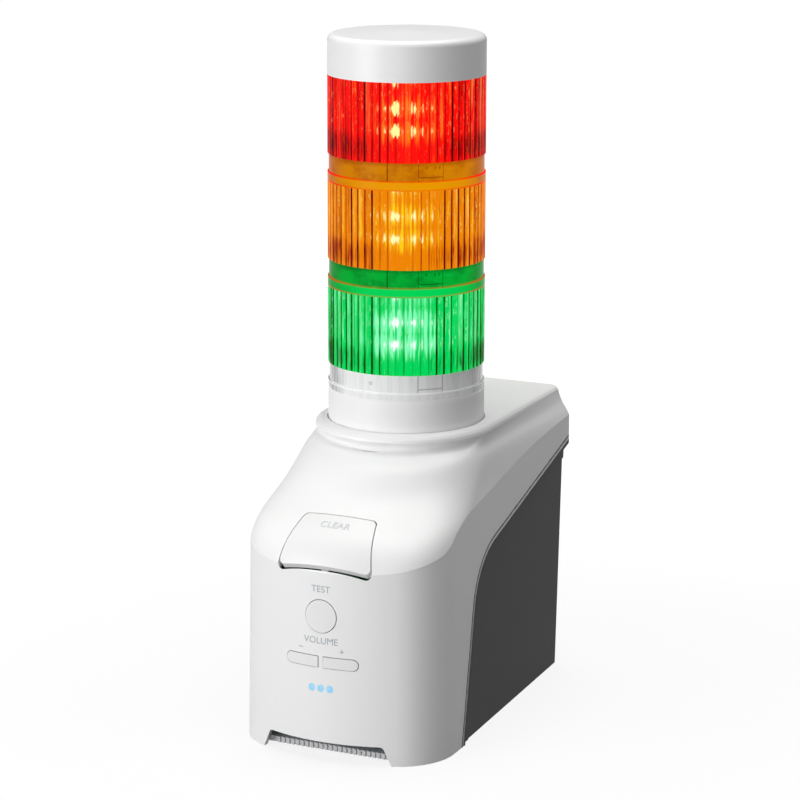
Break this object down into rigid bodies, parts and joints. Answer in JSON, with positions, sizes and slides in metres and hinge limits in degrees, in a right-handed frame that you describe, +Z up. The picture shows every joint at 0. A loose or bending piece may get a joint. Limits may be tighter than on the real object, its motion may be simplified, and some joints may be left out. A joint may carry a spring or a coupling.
{
  "type": "stack light",
  "caption": "Desktop signal tower: red, amber and green ribbed lamp tiers on a wedge-nosed white and dark housing with clear, test and volume keys",
  "frame": {"origin": "centre of the footprint on the surface it stands on, on the lamp tower's axis", "axes": "+Z up along the tower, the keys face -Y, +X is to the right seen from the front"},
  "size_m": [0.0836, 0.1469, 0.2655],
  "materials": {
    "white_shell": "fine satin moulded",
    "white_cap": "satin moulded",
    "white_collar": "satin moulded",
    "dark_shell": "fine texture",
    "white_keys": "satin moulded",
    "red_lens": "clear tinted, ribbed",
    "amber_lens": "clear tinted, ribbed",
    "green_lens": "clear tinted, ribbed",
    "clear_lens": "clear",
    "board": "solder mask",
    "main_board": "solder mask",
    "red_lamp": "lit",
    "amber_lamp": "lit",
    "green_lamp": "lit",
    "status_guide": "lit light guide",
    "status_lamp": "lit",
    "black_plastic": "moulded",
    "cover_grey": "moulded",
    "connector_metal": "tinned",
    "terminal_green": "moulded",
    "steel": "zinc plated",
    "brass": "plain",
    "rubber": "matt",
    "speaker_frame": "black",
    "speaker_paper": "paper",
    "magnet": "plain",
    "switch": "moulded"
  },
  "bodies": {
    "unit": {"head_cap": "white_cap", "red_globe": "red_lens", "amber_globe": "amber_lens", "green_globe": "green_lens", "clear_ring": "clear_lens", "tower_collar": "white_collar", "lamp_mast": "board", "mast_socket": "black_plastic", "green_lamps": "green_lamp", "amber_lamps": "amber_lamp", "red_lamps": "red_lamp", "front_housing": "white_shell", "rear_housing": "dark_shell", "bottom_cover": "cover_grey", "clear_pin": "steel", "tact_switches": "switch", "key_board": "main_board", "status_light_guide": "status_guide", "status_leds": "status_lamp", "main_board": "main_board", "network_jack": "connector_metal", "dc_inlet": "black_plastic", "terminal_block": "terminal_green", "speaker_basket": "speaker_frame", "speaker_cone": "speaker_paper", "speaker_magnet": "magnet", "housing_screws": "steel", "board_screws": "steel", "rubber_feet": "rubber", "bracket_inserts": "brass"},
    "clear_key": {"clear_button": "white_keys"},
    "test_key": {"test_button": "white_keys"},
    "volume_down_key": {"volume_down_button": "white_keys"},
    "volume_up_key": {"volume_up_button": "white_keys"}
  },
  "joints": [
    {"name": "clear_press", "type": "hinge", "parent": "unit", "child": "clear_key", "pos_m": [0, -0.0516, 0.0848], "axis": [1, 0, 0], "range_deg": [0, 3], "stiffness_Nm_per_rad": 0.4, "springref_deg": -3.44},
    {"name": "test_press", "type": "slide", "parent": "unit", "child": "test_key", "axis": [0, 1, 0], "range_m": [0, 0.0006], "stiffness_N_per_m": 1500, "springref_m": -0.0006},
    {"name": "volume_down_press", "type": "slide", "parent": "unit", "child": "volume_down_key", "axis": [0, 1, 0], "range_m": [0, 0.0006], "stiffness_N_per_m": 1500, "springref_m": -0.0006},
    {"name": "volume_up_press", "type": "slide", "parent": "unit", "child": "volume_up_key", "axis": [0, 1, 0], "range_m": [0, 0.0006], "stiffness_N_per_m": 1500, "springref_m": -0.0006}
  ]
}
